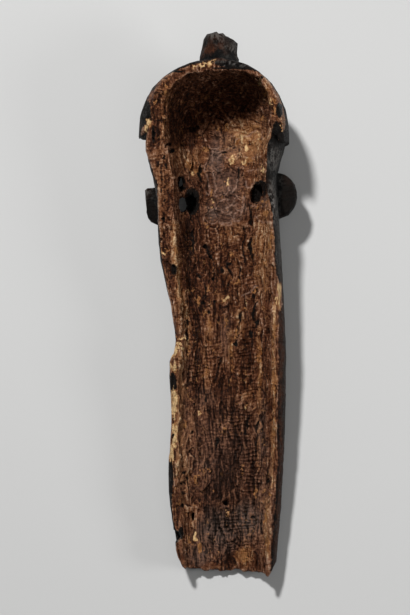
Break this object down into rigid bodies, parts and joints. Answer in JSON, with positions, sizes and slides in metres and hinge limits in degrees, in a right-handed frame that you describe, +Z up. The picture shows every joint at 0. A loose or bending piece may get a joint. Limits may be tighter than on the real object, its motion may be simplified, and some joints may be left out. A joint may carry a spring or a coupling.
{
  "type": "carved wooden face mask",
  "caption": "Hollow wooden face mask with a knobbed hair cap, flange ears, lidded eyes and a long trough-shaped beard, lying face down.",
  "frame": {"origin": "middle of the mask's outline on the surface that it lies on, face down", "axes": "+Y towards the crown, +X to the right seen from behind with the crown up, +Z up out of the hollow back"},
  "size_m": [0.206, 0.7096, 0.1495],
  "materials": {
    "carved_wood": "reddish brown, hand-adzed and oily inside, with a crusty black patina outside"
  },
  "bodies": {
    "root": {"carved_mask": "carved_wood"}
  },
  "joints": []
}
